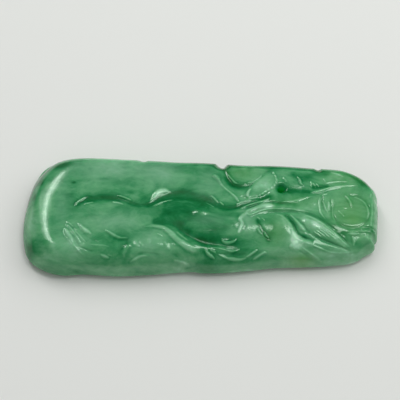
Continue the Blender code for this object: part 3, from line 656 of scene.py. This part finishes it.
def fill(loops, inner):
    """Triangles of a plane sheet bounded by an outer loop and the hole, through inner points."""
    points = np.vstack(loops + [inner])
    edges = []
    first = 0
    for loop in loops:
        count = len(loop)
        edges += [(first + i, first + (i + 1) % count) for i in range(count)]
        first += count
    _, _, triangles, origins, _, _ = delaunay_2d_cdt([Vector(p) for p in points], edges, [], 1,
                                                     SAME_POINT)
    source = np.array([origin[0] for origin in origins])
    triangles = source[np.array(triangles)]
    middle = points[triangles].mean(axis=1)
    return points, triangles[from_hole(middle) >= -0.001 * HOLE_RADIUS]


def face_plan(rim, inward, outline, hole):
    """Points and triangles of the face seen from above, with more points where it is carved."""
    rings = np.vstack([rim + inward * distance for distance in RIM_RINGS])
    clear = inset_from(outline, rings) > np.repeat(RIM_RINGS, len(rim)) * RING_CLEARANCE
    grid, coarse = staggered_grid(rim.min(axis=0), rim.max(axis=0), GRID_STEP)
    face = carved(grid[:, 0], grid[:, 1])
    grid = grid[coarse | (np.maximum(face.cuts, face.raised) > SMOOTH_BELOW ** MERGE_POWER)]
    inside = inset_from(outline[::4], grid) > RIM_RINGS[-1] + 0.5 * GRID_STEP
    inside &= from_hole(grid) > HOLE_RINGS[-1] + 0.5 * GRID_STEP
    hole_rings = np.vstack([circle(HOLE_RADIUS + distance, HOLE_SIDES) for distance in HOLE_RINGS])
    return fill([rim, hole], np.vstack([rings[clear], hole_rings, grid[inside]]))


def face_surface(plan, triangles, outline, rim_count):
    """The face's points at their heights, and how far in from the rim each is."""
    inset = np.maximum(inset_from(outline, plan), 0.0)
    inset[:rim_count] = 0.0
    bare = np.column_stack([plan, slab_height(plan[:, 0], plan[:, 1], inset)])
    relief = carved(plan[:, 0], plan[:, 1]).relief() * np.clip(inset / RELIEF_FADE, 0.0, 1.0)
    away = from_hole(plan)
    relief -= HOLE_SINK * np.exp(-(np.maximum(away, 0) / HOLE_SINK_WIDTH) ** 2) * (away < 1.0)
    normals = vertex_normals(bare, triangles)
    return bare + normals * np.sign(normals[:, 2:]) * relief[:, None], inset


def edge_rings(rim, inward):
    """Rings of points round the lower edge, from just under the widest line to the back."""
    rings = []
    for angle in np.radians(90 * np.arange(1, BACK_ARCS + 1) / BACK_ARCS):
        ring = rim + inward * BACK_ROUNDING * (1 - math.cos(angle))
        rings.append(np.column_stack([ring, np.full(len(rim), WIDEST_Z * (1 - math.sin(angle)))]))
    return rings


def back_plan(edge, rim, outline, hole):
    """Points and triangles of the flat back."""
    grid, _ = staggered_grid(rim.min(axis=0), rim.max(axis=0), BACK_STEP)
    clear = inset_from(outline, grid) > BACK_ROUNDING + BACK_EDGE_CLEARANCE
    clear &= from_hole(grid) > BACK_HOLE_CLEARANCE
    return fill([edge, hole], grid[clear])


class Skin:
    """The mesh as it grows: its points and its triangles of point numbers."""

    def __init__(self):
        self.points = []
        self.triangles = []
        self.count = 0

    def add(self, points):
        """Their numbers."""
        numbers = self.count + np.arange(len(points))
        self.points.append(points)
        self.count += len(points)
        return numbers

    def band(self, upper, lower, turned=1):
        """Two triangles a step between two rings; `turned` is -1 where they face the hole."""
        for corners in ((upper, np.roll(upper, -1), np.roll(lower, -1)),
                        (upper, np.roll(lower, -1), lower)):
            self.triangles.append(np.column_stack(corners)[:, ::turned])


def make_mesh():
    """The plaque's points and triangles, and how far in from the rim each point of the face is."""
    rim, inward = rim_outline(RIM_STEP)
    outline = np.column_stack([np.vstack([rim, rim[:1]]), np.ones(len(rim) + 1)])
    hole = circle(HOLE_RADIUS, HOLE_SIDES)
    skin = Skin()

    # carved face
    plan, triangles = face_plan(rim, inward, outline, hole)
    surface, inset = face_surface(plan, triangles, outline, len(rim))
    numbers = skin.add(surface)
    skin.triangles.append(triangles)
    upper = numbers[:len(rim)]
    wall = numbers[len(rim):len(rim) + HOLE_SIDES]
    wall_top = surface[wall, 2]

    # lower edge
    rings = edge_rings(rim, inward)
    for ring in rings:
        lower = skin.add(ring)
        skin.band(upper, lower)
        upper = lower

    # flat back
    plan, triangles = back_plan(rings[-1][:, :2], rim, outline, hole)
    inner = plan[len(rim):]
    numbers = skin.add(np.column_stack([inner, np.zeros(len(inner))]))
    skin.triangles.append(np.concatenate([upper, numbers])[triangles][:, ::-1])

    # wall of the hole
    for share in np.arange(1, HOLE_BANDS) / HOLE_BANDS:
        lower = skin.add(np.column_stack([hole, wall_top * (1 - share)]))
        skin.band(wall, lower, turned=-1)
        wall = lower
    skin.band(wall, numbers[:HOLE_SIDES], turned=-1)
    inset = np.concatenate([inset, np.zeros(skin.count - len(inset))])
    return np.vstack(skin.points), np.vstack(skin.triangles), inset


def to_box(points, low, high):
    """The points moved and scaled so that they just fill the box."""
    first = points.min(axis=0)
    return low + (points - first) * (high - low) / (points.max(axis=0) - first)


class Tint:
    """How strongly a colour shows at the points x, y. Patches add up."""

    def __init__(self, x, y):
        self.x = x
        self.y = y
        self.amount = np.zeros(x.shape)

    def streak(self, amount, points):
        """Along (x, y, half width) points."""
        distance, _, width = measure_from(smooth_curve(points, 0.4), self.x, self.y)
        self.amount += amount * np.exp(-(distance / width) ** 2)

    def spot(self, amount, x, y, radius_x, radius_y, turn=0.0):
        along, across = in_oval(self.x - x, self.y - y, radius_x, radius_y, turn)
        self.amount += amount * np.exp(-along ** 2 - across ** 2)

    def spots(self, *rows):
        for row in rows:
            self.spot(*row)


def green_between_pods(t):
    """Emerald along the groove between the pods."""
    t.streak(0.3, [(-22, 0.8, 0.7), (-19.9, 1.6, 0.9), (-16, 1.9, 0.9), (-13.5, 1.4, 0.7),
        (-11.5, 0.3, 0.7), (-9, 0.4, 0.5), (-7.3, 1.6, 0.5), (-4.5, 2.8, 0.9), (-2, 2.5, 1),
        (1.5, 1.5, 0.9), (3.5, 0.3, 0.8), (5.5, -0.3, 0.8), (7.5, 0.3, 0.5), (10, 1.2, 0.5),
        (12.5, 2.2, 0.4)])
    t.spot(0.35, -19.8, 1.6, 0.8, 0.6)
    t.streak(0.4, [(-9.4, 0.2, 0.35), (-8.2, 1, 0.5), (-6.6, 1.5, 0.5)])
    t.spots((0.3, -3.5, 0.5, 3.5, 1.8), (0.2, -1.5, -2.4, 2.4, 1.3), (0.18, 0.5, -1.5, 8, 3),
        (0.3, 8, 0.4, 2.6, 0.9), (0.3, 11.5, 1.9, 2.2, 0.8), (0.25, -10.2, 1.8, 1.2, 1),
        (0.15, 0.5, 0.2, 2.6, 1.2), (0.12, 5.4, -0.4, 1.3, 0.7), (0.12, -10, -0.5, 3, 2.4),
        (0.1, -24, 1.5, 3, 2.5))


def green_hollow(t):
    """The hollow and the valley of the middle pod."""
    t.streak(0.8, [(-8, -3, 0.5), (-6, -2.8, 0.9), (-4, -2.3, 1.1), (-2.4, -1.8, 0.8)])
    t.streak(0.2, [(-4, -3.6, 0.8), (-2, -4.9, 1.1), (0.5, -6, 1.4), (4, -6.4, 1.2), (7.5, -7.5, 1.5),
        (9.6, -8.2, 1.2)])
    t.spots((0.12, 3, -3.6, 3, 1.2), (0.18, 7, -8.2, 2.4, 1.2), (0.6, -4.7, -1.6, 2.3, 1.1),
        (0.18, 1.5, -10.5, 4, 0.9), (0.2, -4.2, -9.4, 0.7, 0.4))
    t.streak(0.22, [(-9.5, -4, 0.4), (-6.6, -4.3, 0.6), (-4.6, -6.2, 0.7), (-2, -8, 0.7),
        (0.8, -8.8, 0.5)])


def green_at_bud(t):
    """The bud, the far edge and the ground round the hole."""
    t.streak(0.35, [(4.9, 7.2, 0.5), (5.6, 4.9, 0.8), (7.2, 4.2, 0.9), (9, 4.5, 0.6)])
    t.spots((0.3, 9, 7.8, 0.6, 0.5), (0.3, 12.9, 7.8, 1.6, 0.9), (0.25, 1.4, 7.8, 0.8, 0.6),
        (0.15, -3.5, 8.2, 1.6, 0.5), (0.16, 18.5, 5.6, 5.5, 2.6))
    t.streak(0.35, [(17, 6.9, 0.6), (18.8, 6.4, 0.7), (20.6, 6.9, 0.8), (22, 7, 0.9), (23.2, 7.1, 0.5)])
    t.streak(0.3, [(14.5, 3.5, 0.9), (17, 3.6, 0.8), (19.5, 3.4, 0.5)])
    t.streak(0.4, [(20.5, 4.1, 0.4), (21.7, 4.3, 0.5), (23, 4.6, 0.35)])
    t.spot(0.25, 14.6, 3.8, 1.1, 1.1)
    t.streak(0.2, [(13.2, 0.6, 0.4), (15.5, 0.7, 0.5), (17.5, 0.3, 0.4)])


def green_at_petal(t):
    """Along the petal and the stem."""
    t.streak(0.25, [(10.8, -2.9, 0.6), (12.6, -2.9, 1), (12.6, -5, 0.8), (12.4, -6.2, 0.5)])
    t.streak(0.42, [(10.2, -2.9, 0.35), (11.2, -4.9, 0.4), (12.1, -6.5, 0.4)])
    t.streak(0.3, [(15.4, -1.8, 0.4), (16.4, -3.1, 0.45), (17.2, -4.9, 0.4), (18.6, -5.9, 0.35)])
    t.streak(0.3, [(19.2, -0.9, 0.5), (21.2, -1.7, 0.7), (22.8, -2.9, 0.5), (24.6, -4.8, 0.5)])


def green_at_rim(t):
    """The rim at the wide end, dark specks and the scroll."""
    t.streak(0.5, [(-31.3, 2, 0.5), (-30.5, 4.5, 0.7), (-29.3, 7.5, 0.7), (-27.5, 9.8, 0.7)])
    t.spots((0.07, 27, -0.8, 3.5, 3.5), (0.65, -25.3, 9.2, 1.6, 0.8), (0.7, -28.9, 5.6, 0.6, 0.7),
        (0.3, -30, 2.4, 0.45, 0.8), (0.55, -30.4, -7.8, 1, 1.6), (0.1, -28.4, -6.8, 0.8, 0.6))
    t.streak(0.25, [(-31.4, -6.5, 0.4), (-31.8, -3, 0.4), (-31.7, 0, 0.3)])
    t.spots((0.5, -22.8, 5, 0.4, 0.25), (0.3, -17.7, 5.8, 1, 0.3), (0.22, -13.8, 8.2, 0.8, 0.25),
        (0.2, -20, 8, 0.35, 0.3), (0.3, -12.3, 2.9, 0.8, 0.5), (0.15, -17.5, -6.6, 2.5, 0.8),
        (0.15, -12.5, -7.2, 1, 1.5), (0.15, -20, -10.6, 8, 0.7), (0.2, 30.3, -4.1, 1.2, 0.5),
        (0.2, 25.3, -5.2, 1, 1.2), (0.25, 22, 1.5, 0.4, 1.2), (0.2, 23.5, -0.5, 0.3, 2))


def milk_and_highlights(t):
    """Milky clouds; the glow beside the wide end's long highlight, partly milky and partly painted; and
    painted highlights on leaves, stem, frill, knot, crest, far pod and block.
    """
    t.amount -= 0.15 * rise(-t.y, 7.3, 8.8) * rise(t.x, 13, 17)
    t.amount -= 0.1 * rise(-t.y, 8.5, 10) * rise(-t.x, -2, 2)
    # Milky clouds; the last of them is partly milky and partly the painted glow beside the wide end's
    # long highlight.
    t.spots((-0.13, -16, 8, 6, 2.4), (-0.15, -7.5, 7.5, 3.4, 2.6), (-0.1, 1.6, 5, 2.2, 3),
        (-0.15, -15.5, -2.8, 4.5, 1.8), (-0.1, -20.5, 3.8, 2.2, 1.2), (-0.12, -8.5, -7.2, 2.6, 1.8),
        (-0.18, -22, -8, 2.4, 1.8), (-0.12, -28.5, -1, 1.6, 5))
    # Partly milky, partly the painted glow beside the wide end's long highlight.
    t.streak(-0.25, [(-30.2, 0, 0.6), (-30.4, -3, 0.8), (-29.8, -5.5, 0.7)])
    t.spots((-0.15, 8.4, -3, 1, 1.8), (-0.1, 11, 4.4, 1.8, 1.4), (-0.12, 7.7, 2, 1.5, 0.8),
        (-0.12, 14.8, -5, 1.5, 2.2))
    # Painted highlights along the petal's lit edge into the long leaf, the veined leaf, the stem, the
    # frill and the petal's edge.
    t.streak(-0.25, [(16.3, -4.5, 0.5), (17.2, -6.6, 0.9), (19.5, -7.2, 0.7), (23, -8.2, 0.7),
        (27, -8.3, 0.7)])
    t.streak(-0.3, [(18.6, -2.2, 0.5), (20.6, -3.4, 0.9), (23, -5, 0.8), (25.6, -7.1, 0.5)])
    t.streak(-0.3, [(8.9, -1.3, 0.3), (10.6, -0.6, 0.35), (12.2, 0, 0.45), (13.2, 0.1, 0.3)])
    t.streak(-0.5, [(8.3, -1.4, 0.3), (7.3, -2.5, 0.3), (7.5, -3.6, 0.3), (6.9, -5.1, 0.25)])
    t.streak(-0.3, [(14.8, -2.4, 0.4), (15.8, -4, 0.6), (16.6, -5.6, 0.7), (17.1, -7.2, 0.7)])
    # Painted highlights on the veins, at the low end of the wide end's long highlight, on the stem and on
    # the knot.
    t.spots((-0.25, 20.6, -3.3, 0.8, 0.5, -35), (-0.2, 22, -4.4, 1.6, 0.9, -35),
        (-0.22, -26, -8, 0.45, 0.9, 20), (-0.6, 12.2, 0.15, 1.1, 0.35),
        (-0.45, 17.5, -6.9, 1.5, 0.7, -20), (-0.3, 16.9, -7.8, 0.9, 0.4))
    # Painted highlight on the far pod's edge.
    t.streak(-0.25, [(-8.5, 1.7, 0.2), (-7.5, 2.8, 0.25), (-5.8, 3, 0.25)])
    # Painted highlights on the long-lined leaf, the middle pod's crest and the block; the last two spots
    # are paler patches at the narrow end and the near side.
    t.spots((-0.25, -23.5, -5.4, 0.35, 0.9, 25), (-0.5, 0.7, -1.6, 0.9, 0.3),
        (-0.25, 27.2, -5.1, 0.8, 0.3), (-0.1, 30, 1, 2, 4), (-0.1, 16, -8.6, 3, 1))


def depth_of_green(x, y):
    """0 is milky jade, 1 is emerald; painted highlights lower it, at places below 0."""
    t = Tint(x, y)
    t.amount += 0.41 - 0.13 * rise(x, -2.0, 12.0)
    for colour in (green_between_pods, green_hollow, green_at_bud, green_at_petal, green_at_rim, milk_and_highlights):
        colour(t)
    return t.amount


def warmth(x, y):
    """Where the green leans to yellow; below 0 it leans to milky grey."""
    t = Tint(x, y)
    t.spots((-0.55, -17, 8, 7, 2.6), (-0.6, -7, 7.5, 3.5, 2.8), (-0.45, -15, -3, 4.5, 2),
            (-0.35, 1.5, 5, 2.5, 3), (-0.45, -9, -7, 3, 2), (-0.4, -22.5, -7.5, 2.5, 2.2),
            (-0.4, 1.5, -2.8, 3.5, 1), (-0.4, 8.3, -3, 1.2, 2), (0.5, 7.5, 7, 3, 1.6),
            (0.7, 27, -1, 4, 4.5), (1.2, 18, -9.4, 2.4, 0.7), (0.4, 27.5, -2.5, 1.5, 1),
            (0.3, 17, 1, 5, 1.5), (0.5, 13.5, -5, 2.2, 2.5), (0.4, 26, 6.5, 4, 2),
            (-0.35, -24.7, 0, 1.5, 5))
    return t.amount


def tone(points, inset, face):
    """How green the jade is: 0 is milky, 1 is emerald. It holds painted shade in the grooves and at the
    feet of ridges, painted highlights on ridges and from the tint, and painted light on the low near
    edge.
    """
    x, y, z = points.T
    on_face = z > WIDEST_Z
    ridges = face.height_raised()
    # painted shade in the grooves and at the feet of ridges
    edges = GROOVE_SHADE_GREEN * face.depth_cut() + FOOT_SHADE_GREEN * np.clip(face.shaded_feet - ridges, 0.0, FOOT_SHADE_HEIGHT)
    green = np.clip(depth_of_green(x, y) + on_face * edges, LEAST_GREEN, MOST_GREEN)
    # painted highlight: ridges high enough take on a pale tone
    green = blend(green, RIDGE_HIGHLIGHT_TONE, on_face * RIDGE_HIGHLIGHT_SHARE * np.minimum(ridges / RIDGE_HIGHLIGHT_HEIGHT, 1.0))
    far_side = rise(y, 3.0, 6.0) * rise(x, -3.0, 3.0)
    green += FAR_RIM_GREEN * far_side * rise(-inset, -2.3, -1.7)
    # painted light on the low edge at the near side
    green -= NEAR_EDGE_PAINTED_LIGHT * rise(-y, 0.0, 3.0) * rise(-z, -1.6, -0.8)
    return green


def plaque_object():
    points, triangles, inset = make_mesh()
    face = carved(points[:, 0], points[:, 1])
    # the bore below its top takes the painted glow
    in_hole = (from_hole(points) < 0.01 * HOLE_RADIUS) & (points[:, 2] < BORE_TOP)
    low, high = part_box(NODE)
    mesh = bpy.data.meshes.new("plaque")
    mesh.from_pydata(to_box(points, np.array(low), np.array(high)), [], triangles)
    mesh.shade_smooth()
    for name, values in (("green", tone(points, inset, face)),
                         ("warm", warmth(points[:, 0], points[:, 1])),
                         ("bore", in_hole),
                         ("dull", np.clip(face.depth_cut() / DULL_DEPTH, 0.0, 1.0))):
        mesh.attributes.new(name, "FLOAT", "POINT").data.foreach_set("value", values.astype(np.float32))
    bm = bmesh.new()
    bm.from_mesh(mesh)
    bmesh.ops.recalc_face_normals(bm, faces=bm.faces)
    bm.to_mesh(mesh)
    bm.free()
    return add_object("plaque", mesh)


def add_object(name, data):
    obj = bpy.data.objects.new(name, data)
    bpy.context.scene.collection.objects.link(obj)
    return obj


def node(tree, kind, **values):
    n = tree.nodes.new(kind)
    for key, value in values.items():
        if hasattr(n, key):
            setattr(n, key, value)
        else:
            n.inputs[key].default_value = value
    return n


def attribute(tree, name):
    return node(tree, "ShaderNodeAttribute", attribute_name=name).outputs["Fac"]


def noise(tree, place, scale, detail=3.0, roughness=0.5, distortion=0.0):
    n = node(tree, "ShaderNodeTexNoise", Scale=scale, Detail=detail, Roughness=roughness,
             Distortion=distortion)
    tree.links.new(place, n.inputs["Vector"])
    return n.outputs["Fac"]


def maths(tree, operation, a, b=0.0, c=0.0):
    n = tree.nodes.new("ShaderNodeMath")
    n.operation = operation
    for socket, value in zip(n.inputs, (a, b, c)):
        if isinstance(value, (int, float)):
            socket.default_value = value
        else:
            tree.links.new(value, socket)
    return n.outputs[0]


def ramp(tree, value, colours):
    n = tree.nodes.new("ShaderNodeValToRGB")
    tree.links.new(value, n.inputs["Fac"])
    stops = n.color_ramp.elements
    for stop, (position, colour) in zip(stops, (colours[0], colours[-1])):
        stop.position = position
        stop.color = (*colour, 1)
    for position, colour in colours[1:-1]:
        stops.new(position).color = (*colour, 1)
    return n.outputs["Color"]


def mixed(tree, share, below, colour):
    """`colour` laid over what is below by `share`."""
    n = tree.nodes.new("ShaderNodeMix")
    n.data_type = "RGBA"
    tree.links.new(share, n.inputs["Factor"])
    tree.links.new(below, n.inputs[6])
    n.inputs[7].default_value = (*colour, 1)
    return n.outputs[2]


def jade_colour(t, place):
    along = node(t, "ShaderNodeMapping", vector_type="POINT", Scale=(0.75, 1.3, 1.0))
    t.links.new(place, along.inputs["Vector"])
    cloud = noise(t, along.outputs["Vector"], 150.0, detail=5.0, roughness=0.6, distortion=1.0)
    mottle = noise(t, along.outputs["Vector"], 700.0, detail=4.0, roughness=0.65, distortion=0.5)
    value = maths(t, "MULTIPLY_ADD", maths(t, "SUBTRACT", cloud, 0.5), CLOUD, attribute(t, "green"))
    value = maths(t, "MULTIPLY_ADD", maths(t, "SUBTRACT", mottle, 0.5), MOTTLE, value)
    colour = ramp(t, maths(t, "MULTIPLY_ADD", value, 0.8, 0.2), GREENS)
    warm = attribute(t, "warm")
    colour = mixed(t, maths(t, "MULTIPLY", warm, WARM_SHARE), colour, YELLOW_GREEN)
    colour = mixed(t, maths(t, "MULTIPLY", warm, MILK_SHARE), colour, MILK)
    # painted glow in the bore
    return mixed(t, attribute(t, "bore"), colour, BORE_PAINTED_GLOW)


def jade():
    m = bpy.data.materials.new("jade")
    m.use_nodes = True
    t = m.node_tree
    s = t.nodes["Principled BSDF"]
    place = t.nodes.new("ShaderNodeTexCoord").outputs["Object"]
    t.links.new(jade_colour(t, place), s.inputs["Base Color"])
    t.links.new(maths(t, "MULTIPLY_ADD", attribute(t, "dull"), DULLER, POLISHED), s.inputs["Roughness"])
    s.inputs["IOR"].default_value = 1.6
    s.inputs["Specular Tint"].default_value = (0.85, 1.0, 0.87, 1)
    grain = node(t, "ShaderNodeBump", Strength=0.25, Distance=0.00003)
    t.links.new(noise(t, place, 2200.0, roughness=0.6), grain.inputs["Height"])
    t.links.new(grain.outputs["Normal"], s.inputs["Normal"])
    s.inputs["Subsurface Weight"].default_value = 0.6
    s.inputs["Subsurface Radius"].default_value = (0.35, 1.0, 0.5)
    s.inputs["Subsurface Scale"].default_value = 0.0011
    return m


def floor():
    bpy.ops.mesh.primitive_plane_add(size=2.0, location=(0, 0, 0))
    f = bpy.context.object
    f.name = "floor"
    m = bpy.data.materials.new("floor")
    m.use_nodes = True
    s = m.node_tree.nodes["Principled BSDF"]
    s.inputs["Base Color"].default_value = (*FLOOR_COLOUR, 1)
    s.inputs["Roughness"].default_value = 0.7
    s.inputs["Specular IOR Level"].default_value = 0.2
    f.data.materials.append(m)


def softbox(name, direction, distance, width, height, brightness, turn=0.0):
    """A rectangular light `distance` away, aimed at the plaque. `brightness` is its radiance, and
    `turn` its turn in degrees round its own axis."""
    data = bpy.data.lights.new(name, "AREA")
    data.shape = "RECTANGLE"
    data.size = width
    data.size_y = height
    data.energy = brightness * math.pi * width * height
    o = add_object(name, data)
    o.location = Vector(direction).normalized() * distance
    facing = o.location.to_track_quat("Z", "Y") @ Quaternion((0, 0, 1), math.radians(turn))
    o.rotation_euler = facing.to_euler()
    return o


def lights():
    world = bpy.data.worlds.new("studio")
    bpy.context.scene.world = world
    world.use_nodes = True
    b = world.node_tree.nodes["Background"]
    b.inputs["Color"].default_value = (1, 1, 1, 1)
    b.inputs["Strength"].default_value = 0.31
    world.cycles_visibility.glossy = False
    softbox("left_strip", (-0.335, 0.56, 0.74), 0.7, width=0.055, height=0.5, brightness=10.0, turn=-12.0)
    softbox("left_panel", (-0.435, 0.56, 0.704), 0.75, width=0.2, height=0.5, brightness=1.5, turn=-12.0)
    softbox("key", (0.27, 0.12, 0.96), 0.7, width=0.28, height=0.14, brightness=7.0, turn=28.0)
    softbox("right", (0.8, 0.2, 0.55), 0.7, width=0.4, height=0.4, brightness=1.8)
    fill_light = softbox("fill", (0.3, 0.65, 0.65), 0.42, width=0.38, height=0.38, brightness=1.2)
    fill_light.visible_glossy = False
    front = softbox("front", (0.0, -0.8, 0.6), 0.8, width=0.9, height=0.5, brightness=0.3)
    front.visible_glossy = False


def camera():
    data = bpy.data.cameras.new("camera")
    data.lens = LENS
    data.clip_start = 0.01
    o = add_object("camera", data)
    aim = Vector(AIM)
    up = math.radians(ELEVATION)
    o.location = aim + Vector((0, -math.cos(up), math.sin(up))) * CAMERA_DISTANCE
    o.rotation_euler = (aim - o.location).to_track_quat("-Z", "Y").to_euler()
    bpy.context.scene.camera = o


camera()
lights()
floor()
plaque = plaque_object()
plaque.data.materials.append(jade())
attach(plaque, "root")
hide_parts(NODE)
bpy.context.scene.view_settings.view_transform = "Standard"
